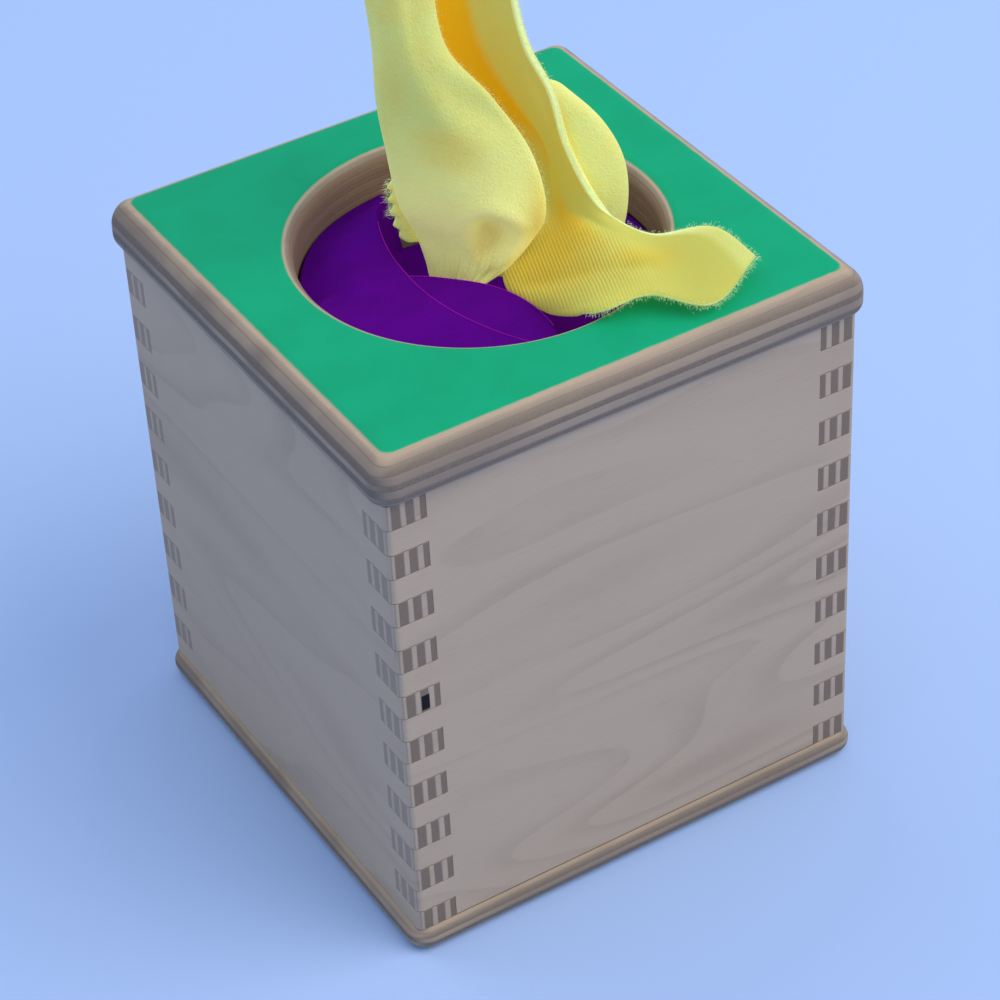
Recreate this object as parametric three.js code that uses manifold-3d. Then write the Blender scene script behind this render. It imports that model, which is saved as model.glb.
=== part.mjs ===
// Toy tissue box: a finger-jointed plywood box with a laminated lid, a round hole and cloth tissues to pull out.
// Millimetres, +Z up, origin at the middle of the underside of the base. The front face looks along -Y.

import * as THREE from "three";
import { mergeVertices } from "three/addons/utils/BufferGeometryUtils.js";
import Module from "manifold-3d";

const wasm = await Module();
wasm.setup();

// Wooden box
const BOX_WIDTH = 117;
const WALL_HEIGHT = 120;
const WALL_PLY = 9.5;
const FINGER = 6.35;
const FINGER_LEAST = 1.5;
const GLUE_LINE = 0.1;
const CORNER_EASE = 1.5;

// Base and lid
const BASE_PLY = 6;
const BASE_EDGE_ROUND = 2.9;
const BASE_OVERHANG = 1.8;
const LID_PLY = 11;
const LAMINATE = 0.5;
const LID_OVERHANG = 2.2;
const PLATE_CORNER = 5;
const LEAST_CORNER = 2.5;
const LID_TOP_ROUND = 6.35;
const LID_UNDER_ROUND = 3;
const HOLE_RADIUS = 40;
const HOLE_LIP_ROUND = 4;

// Cloth
const YELLOW_THICKNESS = 1.6;
const PURPLE_THICKNESS = 1.2;
const CLOTH_CLEARANCE = 2.3;
const SEAT_GAP = 0.3;
const FOLD_LAYER = 1.4;
const FOLD_GAP = 0.4;
const STACK_GAP = 0.5;
const PULL_CLEARANCE = 1.2;

// Purple cloth: heights of its lobes above the bottom of the hollow that holds the yellow cloth
const HOLLOW_DEPTH = 27;
const LEFT_LOBE_RISE = 21.5;
const FRONT_LOBE_RISE = 20;
const BACK_LOBE_RISE = 16;
const LOBE_STEP = 8;
const SKIRT_PLEATS = 9;
const SKIRT_PLEAT_DEPTH = 1.2;
const SKIRT_DRAW = 4;

const HALF = BOX_WIDTH / 2;
const INSIDE_HALF = HALF - WALL_PLY;
const WALL_BOTTOM = BASE_PLY;
const LID_BOTTOM = WALL_BOTTOM + WALL_HEIGHT;
const LID_TOP = LID_BOTTOM + LID_PLY + LAMINATE;
const CLOTH_RADIUS = Math.min(HOLE_RADIUS, INSIDE_HALF) - CLOTH_CLEARANCE;
const PURPLE_RIM = CLOTH_RADIUS - PURPLE_THICKNESS;

const ARC_STEPS = 6;
const ROUND_STEPS = 4;
const HOLE_STEPS = 64;

// Solids

function toManifold(geometry) {
  const bare = geometry.clone();
  bare.deleteAttribute("normal");
  bare.deleteAttribute("uv");
  const merged = mergeVertices(bare, 1e-4);
  return new wasm.Manifold(new wasm.Mesh({
    numProp: 3,
    vertProperties: new Float32Array(merged.attributes.position.array),
    triVerts: new Uint32Array(merged.index.array),
  }));
}

function toGeometry(manifold) {
  const { vertProperties, triVerts } = manifold.getMesh();
  return indexedGeometry(vertProperties, triVerts);
}

function indexedGeometry(positions, triangles) {
  const geometry = new THREE.BufferGeometry();
  geometry.setAttribute("position", new THREE.BufferAttribute(new Float32Array(positions), 3));
  geometry.setIndex(new THREE.BufferAttribute(new Uint32Array(triangles), 1));
  return geometry;
}

// A closed solid through a stack of rings with the same number of points, from the lowest ring to the highest.
function ringSolid(rings) {
  const count = rings[0].length;
  const triangles = [];
  for (let level = 0; level + 1 < rings.length; level += 1) {
    for (let i = 0; i < count; i += 1) {
      const a = level * count + i;
      const b = level * count + (i + 1) % count;
      triangles.push(a, b, b + count, a, b + count, a + count);
    }
  }
  const top = (rings.length - 1) * count;
  for (let i = 1; i + 1 < count; i += 1) {
    triangles.push(0, i + 1, i, top, top + i, top + i + 1);
  }
  return indexedGeometry(rings.flat().flatMap((point) => point.toArray()), triangles);
}

// A closed solid around a grid of points: both faces of the sheet and its edge.
function sheetSolid(grid, thickness) {
  const near = (list, i) => [list[Math.max(i - 1, 0)], list[Math.min(i + 1, list.length - 1)]];
  const normals = grid.map((line, r) => line.map((point, c) => {
    const [left, right] = near(line, c);
    const [above, below] = near(grid, r).map((other) => other[c]);
    const along = new THREE.Vector3().subVectors(below, above);
    return new THREE.Vector3().subVectors(right, left).cross(along).normalize();
  }));
  return shellSolid(offsetGrid(grid, normals, thickness / 2), offsetGrid(grid, normals, -thickness / 2));
}

function offsetGrid(grid, normals, distance) {
  return grid.map((line, r) => line.map((point, c) => point.clone().addScaledVector(normals[r][c], distance)));
}

// A closed solid between two faces given as grids of the same size.
function shellSolid(front, back) {
  const rows = front.length;
  const columns = front[0].length;
  const positions = [front, back].flat(2).flatMap((point) => point.toArray());
  const other = rows * columns;
  const triangles = [];
  const quad = (a, b, c, d) => triangles.push(a, b, c, a, c, d);
  for (let r = 0; r + 1 < rows; r += 1) {
    for (let c = 0; c + 1 < columns; c += 1) {
      const a = r * columns + c;
      const d = a + columns;
      quad(a, a + 1, d + 1, d);
      quad(other + a, other + d, other + d + 1, other + a + 1);
    }
  }
  const last = (rows - 1) * columns;
  for (let c = 0; c + 1 < columns; c += 1) {
    quad(c + 1, c, other + c, other + c + 1);
    quad(last + c, last + c + 1, other + last + c + 1, other + last + c);
  }
  for (let r = 0; r + 1 < rows; r += 1) {
    const a = r * columns;
    const b = a + columns - 1;
    quad(a, a + columns, other + a + columns, other + a);
    quad(b + columns, b, other + b, other + b + columns);
  }
  return indexedGeometry(positions, triangles);
}

// Wooden pieces

function squareRing(half, corner, z) {
  const points = [];
  for (let quarter = 0; quarter < 4; quarter += 1) {
    const facing = quarter * Math.PI / 2;
    for (let step = 0; step <= ARC_STEPS; step += 1) {
      const angle = facing + step / ARC_STEPS * Math.PI / 2;
      const centre = new THREE.Vector3(half - corner, half - corner, z);
      centre.applyAxisAngle(new THREE.Vector3(0, 0, 1), facing);
      points.push(centre.add(new THREE.Vector3(corner * Math.cos(angle), corner * Math.sin(angle), 0)));
    }
  }
  return points;
}

// How far a quarter-round edge stands in at a given distance from the face it runs out on.
function roundInset(radius, distance) {
  const rest = Math.max(radius - distance, 0);
  return radius - Math.sqrt(Math.max(radius * radius - rest * rest, 0));
}

// A square plate between two heights, whose edge is rounded towards both outer faces of the whole panel.
function squarePlate(half, [bottom, top], [faceBottom, faceTop], [underRound, topRound]) {
  const heights = new Set([bottom, top]);
  for (let step = 0; step <= ROUND_STEPS; step += 1) {
    const turn = step / ROUND_STEPS * Math.PI / 2;
    heights.add(faceBottom + underRound * (1 - Math.cos(turn)));
    heights.add(faceTop - topRound * (1 - Math.cos(turn)));
  }
  const levels = [...heights].filter((z) => z >= bottom && z <= top).sort((a, b) => a - b);
  return ringSolid(levels.map((z) => {
    const inset = Math.max(roundInset(underRound, z - faceBottom), roundInset(topRound, faceTop - z));
    return squareRing(half - inset, Math.max(PLATE_CORNER - inset, LEAST_CORNER), z);
  }));
}

// The round hole with its rounded lip, as a turned plug that runs past both faces of the lid.
function holeCutter(splitHeight) {
  const past = LID_PLY;
  const profile = [new THREE.Vector2(0, LID_BOTTOM - past), new THREE.Vector2(HOLE_RADIUS, LID_BOTTOM - past)];
  const depths = [splitHeight];
  for (let step = 0; step <= ROUND_STEPS; step += 1) {
    depths.push(LID_TOP - HOLE_LIP_ROUND * (1 - Math.sin(step / ROUND_STEPS * Math.PI / 2)));
  }
  for (const z of [...new Set(depths)].sort((a, b) => a - b)) {
    profile.push(new THREE.Vector2(HOLE_RADIUS + roundInset(HOLE_LIP_ROUND, LID_TOP - z), z));
  }
  profile.push(new THREE.Vector2(HOLE_RADIUS + HOLE_LIP_ROUND, LID_TOP + past));
  profile.push(new THREE.Vector2(0, LID_TOP + past));
  return toManifold(new THREE.LatheGeometry(profile, HOLE_STEPS).rotateX(Math.PI / 2));
}

// Fingers are laid out from the top of the wall down: true for those that belong to the side walls.
function fingerRows() {
  const rows = [];
  let top = WALL_HEIGHT;
  for (let side = true; top > 0; side = !side) {
    const full = top - FINGER;
    const bottom = full < FINGER_LEAST ? 0 : full;
    rows.unshift({ bottom, top, side });
    top = bottom;
  }
  return rows;
}

// One wall as seen from outside: a panel whose two ends carry its own share of the fingers.
function wallShape(side) {
  const ends = [];
  for (const row of fingerRows()) {
    const own = row.side === side;
    const reach = own ? HALF : HALF - WALL_PLY - GLUE_LINE;
    const shrink = own ? GLUE_LINE / 2 : -GLUE_LINE / 2;
    const low = row.bottom === 0 ? 0 : row.bottom + shrink;
    const high = row.top === WALL_HEIGHT ? WALL_HEIGHT : row.top - shrink;
    ends.push(new THREE.Vector2(reach, low), new THREE.Vector2(reach, high));
  }
  const mirrored = ends.map((point) => new THREE.Vector2(-point.x, point.y)).reverse();
  return new THREE.Shape([...ends, ...mirrored]);
}

function wallGeometry(side, turn) {
  const slab = new THREE.ExtrudeGeometry(wallShape(side), { depth: WALL_PLY, bevelEnabled: false });
  slab.rotateX(Math.PI / 2);
  slab.translate(0, -INSIDE_HALF, WALL_BOTTOM);
  slab.rotateZ(turn);
  const top = LID_BOTTOM + WALL_PLY;
  const outer = ringSolid([squareRing(HALF, CORNER_EASE, 0), squareRing(HALF, CORNER_EASE, top)]);
  return toGeometry(toManifold(slab).intersect(toManifold(outer)));
}

function baseGeometry() {
  const faces = [0, BASE_PLY];
  return squarePlate(HALF + BASE_OVERHANG, faces, faces, [BASE_EDGE_ROUND, BASE_EDGE_ROUND]);
}

function lidGeometry(bottom, top) {
  const faces = [LID_BOTTOM, LID_TOP];
  const plate = squarePlate(HALF + LID_OVERHANG, [bottom, top], faces, [LID_UNDER_ROUND, LID_TOP_ROUND]);
  return toGeometry(toManifold(plate).subtract(holeCutter(LID_BOTTOM + LID_PLY)));
}

// Cloth pieces

// A smooth surface through guide lines that run down the cloth, listed from one side of it to the other.
function surfaceThrough(guides, rows, columns) {
  const smooth = (points) => new THREE.CatmullRomCurve3(points, false, "centripetal");
  const lines = guides.map((guide) => smooth(guide.map((point) => new THREE.Vector3(...point))).getPoints(rows));
  return lines[0].map((point, row) => smooth(lines.map((line) => line[row])).getPoints(columns));
}

// Cloth below the top of the lid is drawn in to pass the hole.
function drawnIn(point, margin) {
  const most = CLOTH_RADIUS - margin;
  const reach = Math.hypot(point.x, point.y);
  if (point.z < margin && reach > most) {
    point.x *= most / reach;
    point.y *= most / reach;
  }
  return point;
}

// Guide lines of the yellow cloth from the middle of the hole and the top of the lid: it stands as an open fold,
// near edge first, round the bend on the left and back to the far edge, which runs down into the laid corner.
const YELLOW_GUIDES = [
  [[-3, 8, 76], [-4, 2, 47], [3, -4, 35], [9, -9, 22], [11, -11, 8], [10, -9, 1], [7, -5, -7], [3, -1, -16]],
  [[-10, 9, 78], [-12, 3, 49], [-10, 0, 37], [-6, -3, 25], [-4, -4, 10], [-2, -1, 0], [-2, 1, -9], [-3, 4, -17]],
  [[-16, 16, 76], [-14, 14, 45], [-14, 14, 31], [-13, 13, 19], [-11, 13, 5], [-9, 13, -3], [-8, 14, -12],
    [-5, 13, -21]],
  [[-7, 17, 73], [-4, 15, 42], [1, 14, 29], [5, 11, 16], [8, 8, 2], [9, 8, -7], [9, 7, -12], [8, 6, -18]],
  [[3, 12, 71], [7, 12, 39], [13, 10, 26], [20, 5, 14], [19, 1, 0], [14, -10, -2], [7, -18, -5], [2, -23, -8]],
  [[6, 11, 71], [10, 9, 40], [15, 6, 27], [20, 1, 14], [20, -4, 2], [17, -16, 1], [12, -29, 2], [4, -44, 3]],
  [[8, 8, 72], [12, 5, 41], [16, 2, 28], [20, -2, 16], [21, -9, 3], [21, -22, 2], [18, -35, 4], [13, -47, 5]],
  [[10, 6, 72], [13, 2, 42], [17, -1, 30], [20, -5, 17], [22, -12, 4], [24, -27, 3], [25, -40, 5], [23, -55, 3]],
  [[12, 4, 72], [14, -1, 43], [18, -4, 31], [19, -8, 18], [24, -15, 4], [27, -28, 4], [36, -38, 8], [41, -46, 3]],
];

// The far edge's slack, pushed out as a rounded lobe behind the fold.
const YELLOW_LOBE_GUIDES = [
  [[15, 1.5, 33], [19, -2, 20], [21, -7, 9], [23, -8, -4]],
  [[17.5, 0.4, 32.5], [23.6, -4.8, 21], [26.4, -8.8, 10], [26.7, -10, -2.6]],
  [[20, 0.3, 31], [28.5, -5.5, 20], [32, -8.5, 9.5], [30.6, -10, -3]],
  [[22.5, 2, 28.5], [30, -1.5, 17.5], [33, -4, 7], [32, -6, -5]],
];

function yellowGeometry() {
  const reach = YELLOW_THICKNESS / 2;
  const sheet = (guides, rows, columns) => {
    const grid = surfaceThrough(guides, rows, columns);
    grid.forEach((line) => line.forEach((point) => drawnIn(point, reach)));
    return sheetSolid(grid, YELLOW_THICKNESS);
  };
  const main = toManifold(sheet(YELLOW_GUIDES, 19, 25));
  const lobe = toManifold(sheet(YELLOW_LOBE_GUIDES, 7, 6));
  return toGeometry(main.add(lobe));
}

// The height that a laid cloth is lifted so that its lowest place over the lid lies on it.
function laidLift(geometry) {
  const points = geometry.attributes.position;
  let lowest = Infinity;
  for (let i = 0; i < points.count; i += 1) {
    if (Math.hypot(points.getX(i), points.getY(i)) > HOLE_RADIUS) {
      lowest = Math.min(lowest, points.getZ(i));
    }
  }
  return SEAT_GAP - lowest;
}

// Top of the purple cloth at a place in the hole, from the top of the lid: a lobe on the left, one in front of the
// yellow cloth and a lower one at the back right stand round a hollow. Each lobe ends on a round hem.
function purpleTop(x, y) {
  const rise = (share) => THREE.MathUtils.smoothstep(share, 0, 1);
  const fromLeftHem = 64 - Math.hypot(x - 46.7, y + 2.7);
  const fromFrontHem = Math.hypot(x + 30.8, y + 24.5) - 30.2;
  const bearing = THREE.MathUtils.radToDeg(Math.atan2(y, x));
  const backSector = rise((bearing + 30) / 12) * rise((50 - bearing) / 12);
  const left = LEFT_LOBE_RISE * rise((LOBE_STEP - fromLeftHem) / LOBE_STEP);
  const front = FRONT_LOBE_RISE * rise((LOBE_STEP - fromFrontHem) / LOBE_STEP);
  const back = BACK_LOBE_RISE * rise((Math.hypot(x, y) - 29) / 7) * backSector;
  return Math.max(left, front, back) - HOLLOW_DEPTH;
}

// One face of the purple cloth: its middle is the crumpled top and its border hangs down to the pile as a skirt.
// The inner face lies straight under the top and, past the rim, inside the skirt.
function purpleFace(hem, depth) {
  const rings = 12;
  const rimRing = 8;
  const grid = [];
  for (let row = -rings; row <= rings; row += 1) {
    const line = [];
    for (let column = -rings; column <= rings; column += 1) {
      const ring = Math.max(Math.abs(column), Math.abs(row));
      const drop = Math.max((ring - rimRing) / (rings - rimRing), 0);
      const inward = depth * THREE.MathUtils.clamp(0.25 + ring - rimRing, 0, 1);
      const angle = squareToRound(column, row);
      const pleat = SKIRT_PLEAT_DEPTH * (1 - Math.cos(SKIRT_PLEATS * angle));
      const reach = PURPLE_RIM * Math.min(ring / rimRing, 1) - (SKIRT_DRAW + pleat) * drop ** 2;
      const across = Math.cos(angle);
      const along = Math.sin(angle);
      const top = LID_TOP + purpleTop(reach * across, reach * along) - depth;
      const z = THREE.MathUtils.lerp(top, hem, drop);
      line.push(new THREE.Vector3((reach - inward) * across, (reach - inward) * along, z));
    }
    grid.push(line);
  }
  return grid;
}

// Bearing of a place on a square cloth once the cloth is gathered into a round.
function squareToRound(u, v) {
  if (Math.abs(u) > Math.abs(v)) {
    return Math.PI / 4 * (v / u) + (u < 0 ? Math.PI : 0);
  }
  return Math.PI / 2 - Math.PI / 4 * (v === 0 ? 0 : u / v) + (v < 0 ? Math.PI : 0);
}

function purpleGeometry(hem) {
  return shellSolid(purpleFace(hem, 0), purpleFace(hem, PURPLE_THICKNESS));
}

// A strip folded in thirds as an S: place across, height and direction at points along it.
function foldInThirds(run, pitch) {
  const turnSteps = 3;
  const points = [];
  for (let third = 0; third < 3; third += 1) {
    const way = third % 2 === 0 ? 1 : -1;
    const height = (third - 1) * pitch;
    for (const share of [-0.5, 0, 0.5]) {
      points.push({ across: way * share * run, height, along: way, up: 0 });
    }
    for (let step = 1; third < 2 && step < turnSteps; step += 1) {
      const turn = step / turnSteps * Math.PI;
      points.push({
        across: way * (run / 2 + pitch / 2 * Math.sin(turn)),
        height: height + pitch / 2 * (1 - Math.cos(turn)),
        along: way * Math.cos(turn),
        up: Math.sin(turn),
      });
    }
  }
  return points;
}

// The largest square tissue that, folded in thirds both ways, still slips through the hole.
const STACK = 3 * FOLD_LAYER + 2 * FOLD_GAP;
const FOLDED_HEIGHT = 3 * STACK + 2 * STACK_GAP;
const FIRST_PITCH = FOLD_LAYER + FOLD_GAP;
const SECOND_PITCH = STACK + STACK_GAP;
const FIRST_EXTRA = FIRST_PITCH * (1 - Math.PI / 3) + FOLD_LAYER;
const SECOND_EXTRA = SECOND_PITCH * (1 - Math.PI / 3) + STACK;

function tissueSide() {
  const diagonal = 2 * (CLOTH_RADIUS - PULL_CLEARANCE);
  const both = FIRST_EXTRA + SECOND_EXTRA;
  const squares = FIRST_EXTRA ** 2 + SECOND_EXTRA ** 2;
  return 1.5 * (Math.sqrt(both ** 2 - 2 * (squares - diagonal ** 2)) - both);
}

function foldedGeometry() {
  const side = tissueSide();
  const first = foldInThirds((side - Math.PI * FIRST_PITCH) / 3, FIRST_PITCH);
  const second = foldInThirds((side - Math.PI * SECOND_PITCH) / 3, SECOND_PITCH);
  const grid = [];
  const normals = [];
  for (const b of second) {
    const out = new THREE.Vector3(0, -b.up, b.along);
    grid.push(first.map((a) => new THREE.Vector3(a.across, b.across, b.height).addScaledVector(out, a.height)));
    normals.push(first.map((a) => new THREE.Vector3(-a.up, 0, 0).addScaledVector(out, a.along)));
  }
  return shellSolid(offsetGrid(grid, normals, FOLD_LAYER / 2), offsetGrid(grid, normals, -FOLD_LAYER / 2));
}

// Assembly

const PLYWOOD = 0xc9b79c;
const FOLDED_COLOURS = [0xc43c3c, 0x2f6db8, 0xe08a30, 0x3c9a58, 0xd86a9a];

const tissueBox = new THREE.Group();

function addPiece(name, geometry, color, roughness) {
  const material = new THREE.MeshStandardMaterial({ color, roughness, metalness: 0 });
  const mesh = new THREE.Mesh(geometry, material);
  mesh.name = name;
  tissueBox.add(mesh);
  return mesh;
}

addPiece("base_panel", baseGeometry(), PLYWOOD, 0.6);
addPiece("wall_front", wallGeometry(false, 0), PLYWOOD, 0.6);
addPiece("wall_back", wallGeometry(false, Math.PI), PLYWOOD, 0.6);
addPiece("wall_left", wallGeometry(true, -Math.PI / 2), PLYWOOD, 0.6);
addPiece("wall_right", wallGeometry(true, Math.PI / 2), PLYWOOD, 0.6);
addPiece("lid_panel", lidGeometry(LID_BOTTOM, LID_BOTTOM + LID_PLY), PLYWOOD, 0.6);
addPiece("lid_laminate", lidGeometry(LID_BOTTOM + LID_PLY, LID_TOP), 0x1ea878, 0.5);

// The purple tissue is as large as the folded ones: its middle fills the hole and the rest hangs down to the pile.
// The pile takes as many folded tissues as go under it, each turned a quarter from the one below.
const PILE_PITCH = FOLDED_HEIGHT + SEAT_GAP;
const SKIRT_DROP = HOLLOW_DEPTH - LEFT_LOBE_RISE + tissueSide() / 2 - PURPLE_RIM;
const PILE_ROOM = LID_TOP - Math.max(SKIRT_DROP, HOLLOW_DEPTH + PURPLE_THICKNESS) - BASE_PLY;
const FOLDED_COUNT = Math.floor(PILE_ROOM / PILE_PITCH);

for (let i = 0; i < FOLDED_COUNT; i += 1) {
  const color = FOLDED_COLOURS[i % FOLDED_COLOURS.length];
  const tissue = addPiece(`folded_tissue_${i + 1}`, foldedGeometry(), color, 0.95);
  tissue.position.z = BASE_PLY + i * PILE_PITCH + SEAT_GAP + FOLDED_HEIGHT / 2;
  tissue.rotation.z = (i % 2) * Math.PI / 2;
}

const pileTop = BASE_PLY + FOLDED_COUNT * PILE_PITCH;
addPiece("purple_tissue", purpleGeometry(pileTop + SEAT_GAP), 0x55108c, 0.95);

const yellow = addPiece("yellow_tissue", yellowGeometry(), 0xd8d67c, 0.95);
yellow.position.z = LID_TOP + laidLift(yellow.geometry);

export default tissueBox;
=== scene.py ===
"""Dresses the toy tissue box: plywood with its plies, a lid with a round hole and cloth tissues."""

import math
import random

import bmesh
import bpy
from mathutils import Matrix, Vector, noise


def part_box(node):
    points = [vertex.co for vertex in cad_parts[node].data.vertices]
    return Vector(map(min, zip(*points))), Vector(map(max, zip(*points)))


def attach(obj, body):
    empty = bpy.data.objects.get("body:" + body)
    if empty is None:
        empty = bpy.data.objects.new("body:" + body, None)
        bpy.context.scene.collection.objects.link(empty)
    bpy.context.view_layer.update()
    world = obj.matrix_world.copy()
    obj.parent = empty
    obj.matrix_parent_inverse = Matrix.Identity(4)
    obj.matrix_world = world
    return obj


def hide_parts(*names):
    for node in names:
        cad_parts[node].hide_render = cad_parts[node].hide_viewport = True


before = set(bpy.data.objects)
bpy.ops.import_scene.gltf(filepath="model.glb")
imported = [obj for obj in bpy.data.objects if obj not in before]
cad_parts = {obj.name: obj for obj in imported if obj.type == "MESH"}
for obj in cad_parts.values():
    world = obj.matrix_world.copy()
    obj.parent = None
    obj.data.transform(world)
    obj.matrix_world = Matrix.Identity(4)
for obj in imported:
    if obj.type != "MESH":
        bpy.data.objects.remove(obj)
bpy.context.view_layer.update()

bl_info = {
    "name": "Toy tissue box",
    "version": (1, 0, 0),
    "blender": (4, 5, 0),
    "location": "View3D > Sidebar > Tissue Box",
    "description": "Makes a finger-jointed plywood tissue box toy with a laminated lid and cloth tissues",
    "category": "Object",
}

MM = 0.001
LID_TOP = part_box("lid_laminate")[1][2]
LID_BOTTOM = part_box("lid_panel")[0][2]
LAMINATE_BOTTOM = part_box("lid_panel")[1][2]
LID_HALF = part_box("lid_panel")[1][0]
BASE_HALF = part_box("base_panel")[1][0]
BASE_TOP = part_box("base_panel")[1][2]
WALL_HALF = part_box("wall_front")[1][0]
PILE_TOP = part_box("folded_tissue_5")[1][2]
FOLDED = [f"folded_tissue_{number}" for number in range(1, 6)]
X, Y, Z = range(3)


def srgb(red, green, blue):
    """Scene-linear colour of a red, green and blue given from 0 to 255."""
    shares = (channel / 255 for channel in (red, green, blue))
    return tuple(share / 12.92 if share < 0.04045 else ((share + 0.055) / 1.055) ** 2.4 for share in shares)


def length(name, description, millimetres):
    return bpy.props.FloatProperty(
        name=name, description=description, default=millimetres * MM, min=0, precision=5, unit="LENGTH")


def paint(name, description, red, green, blue):
    return bpy.props.FloatVectorProperty(
        name=name, description=description, default=srgb(red, green, blue), min=0, max=1, size=3,
        subtype="COLOR")


class BoxSizes(bpy.types.PropertyGroup):
    """Sizes of the wooden box."""

    corner: length("Corner", "Radius of the corners of the lid and the base seen from above", 5)
    least_corner: length("Least corner", "Radius that is left where the rounding cuts a corner down", 2.5)
    lid_round: length("Lid round", "Radius of the lid's rounded upper rim", 6.35)
    lid_under_round: length("Lid under round", "Radius of the lid's lower rim", 3)
    hole_radius: length("Hole radius", "Radius of the round hole in the lid", 40)
    lip_round: length("Lip round", "Radius of the hole's rounded lip", 4)
    base_round: length("Base round", "Radius of the base's rounded edge", 2.9)
    finger_ease: length("Finger ease", "Width of the sanded edge on each finger", 0.12)


class BoxColours(bpy.types.PropertyGroup):
    """Colours of the wooden box."""

    birch: paint("Birch", "Face veneer and long grain", 186, 167, 148)
    birch_streak: paint("Birch streak", "Darker streaks in the veneer", 154, 135, 119)
    end_grain: paint("End grain", "Plies that show their end grain on the lid and the base", 114, 104, 97)
    side_finger: paint("Side finger", "End grain on the left and right walls' fingers", 122, 108, 98)
    front_finger: paint("Front finger", "End grain on the front and back walls' fingers", 156, 142, 131)
    bore: paint("Bore", "Wall of the hole", 150, 120, 103)
    # Also paints the shadow along the front wall's foot over the base
    void: paint("Void", "Gaps in the inner plies", 22, 18, 18)
    green: paint("Green", "Laminate on the lid", 6, 168, 124)
    green_mottle: paint("Green mottle", "Darker cloudiness in the laminate", 4, 160, 116)


class ClothSizes(bpy.types.PropertyGroup):
    """Sizes of the cloth tissues."""

    yellow_thickness: length("Yellow thickness", "Thickness of the yellow cloth with its pile", 1.6)
    purple_thickness: length("Purple thickness", "Thickness of the purple cloth", 1.2)
    folded_thickness: length("Folded thickness", "Thickness of each folded cloth", 1.4)
    rib_spacing: length("Rib spacing", "Distance between the ribs on the back of the yellow cloth", 0.75)
    clear_radius: length("Clear radius", "Radius within which the yellow cloth passes the hole", 37.7)
    purple_radius: length("Purple radius", "Radius out to which the purple cloth fills the hole", 39.3)
    fibre_radius: length("Fibre radius", "Radius of a loose fibre at its root", 0.05)
    thread_radius: length("Thread radius", "Radius of the thread on the purple cloth's hems", 0.14)
    seat_gap: length("Seat gap", "Air under a cloth that lies on something", 0.3)


class ClothColours(bpy.types.PropertyGroup):
    """Colours of the cloth tissues."""

    yellow: paint("Yellow", "Pile side of the yellow cloth", 202, 211, 130)
    yellow_back: paint("Yellow back", "Ribbed side of the yellow cloth", 200, 200, 102)
    # Painted shade: the golden tone the yellow cloth takes deep in its folds, where light bounces inside
    yellow_fold_shade: paint("Yellow fold", "Yellow cloth deep in its folds", 220, 178, 28)
    # Painted shade in the dents, along the gathers and between the ribs
    yellow_shade: paint("Yellow shade", "Yellow cloth in its dents and between its ribs", 188, 146, 46)
    yellow_border: paint("Yellow border", "Thick border of the yellow cloth", 223, 238, 170)
    # Painted light: the pile side is lightened towards its bottom, where it faces away from the lamps
    yellow_painted_light: paint("Yellow nap", "Pile side where it is brushed upwards near the hole", 250, 252, 164)
    purple: paint("Purple", "Purple cloth", 88, 0, 140)
    # Painted shade deep in the purple cloth's folds
    purple_fold_shade: paint("Purple fold", "Purple cloth deep in its folds", 44, 0, 74)
    # Partly the hem's real thread, partly a painted highlight along the hem's edge
    hem: paint("Hem", "Thread along the hems of the purple cloth", 156, 24, 176)


class StageSettings(bpy.types.PropertyGroup):
    """Camera and light."""

    camera_place: bpy.props.FloatVectorProperty(
        name="Camera place", description="Where the camera stands",
        default=(-0.292575, -0.512979, 0.531336), size=3, subtype="TRANSLATION", unit="LENGTH")
    camera_turn: bpy.props.FloatVectorProperty(
        name="Camera turn", description="How the camera is turned",
        default=(math.radians(51.564), math.radians(2.555), math.radians(-31.874)), size=3, subtype="EULER")
    lens: bpy.props.FloatProperty(
        name="Lens", description="Focal length of the camera", default=118.01, min=1, unit="CAMERA")
    floor: paint("Floor", "Colour of the floor", 174, 203, 255)
    sky: paint("Sky", "Colour of the light from all round", 220, 235, 255)
    lamp: paint("Lamp", "Colour of the lamps", 255, 242, 222)


SETTINGS = {
    "tissue_box_sizes": BoxSizes,
    "tissue_box_colours": BoxColours,
    "tissue_cloth_sizes": ClothSizes,
    "tissue_cloth_colours": ClothColours,
    "tissue_box_stage": StageSettings,
}


# Materials


CLOTH_MAP = "cloth"
# Black, mixed in as painted shade
SHADOW = (0, 0, 0)

# Millimetres from the middle of a change of colour to its end
PLY_SOFT = 0.12
GLUE_SOFT = 0.16
FLAW_AND_SHADOW_SOFT = 0.15

# Strength of the painted glow that stands in for the light that thin cloth lets through
PILE_GLOW = 0.24
BACK_GLOW = 0.25
EDGE_GLOW = 0.17


class Value:
    """A shader socket that takes part in plain arithmetic."""

    def __init__(self, finish, socket):
        self.finish = finish
        self.socket = socket

    def __add__(self, other):
        return self.finish.maths("ADD", self, other)

    def __sub__(self, other):
        return self.finish.maths("SUBTRACT", self, other)

    def __rsub__(self, other):
        return self.finish.maths("SUBTRACT", other, self)

    def __mul__(self, other):
        return self.finish.maths("MULTIPLY", self, other)

    def __truediv__(self, other):
        return self.finish.maths("DIVIDE", self, other)

    def __abs__(self):
        return self.finish.maths("ABSOLUTE", self, 0)

    __radd__ = __add__
    __rmul__ = __mul__


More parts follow.
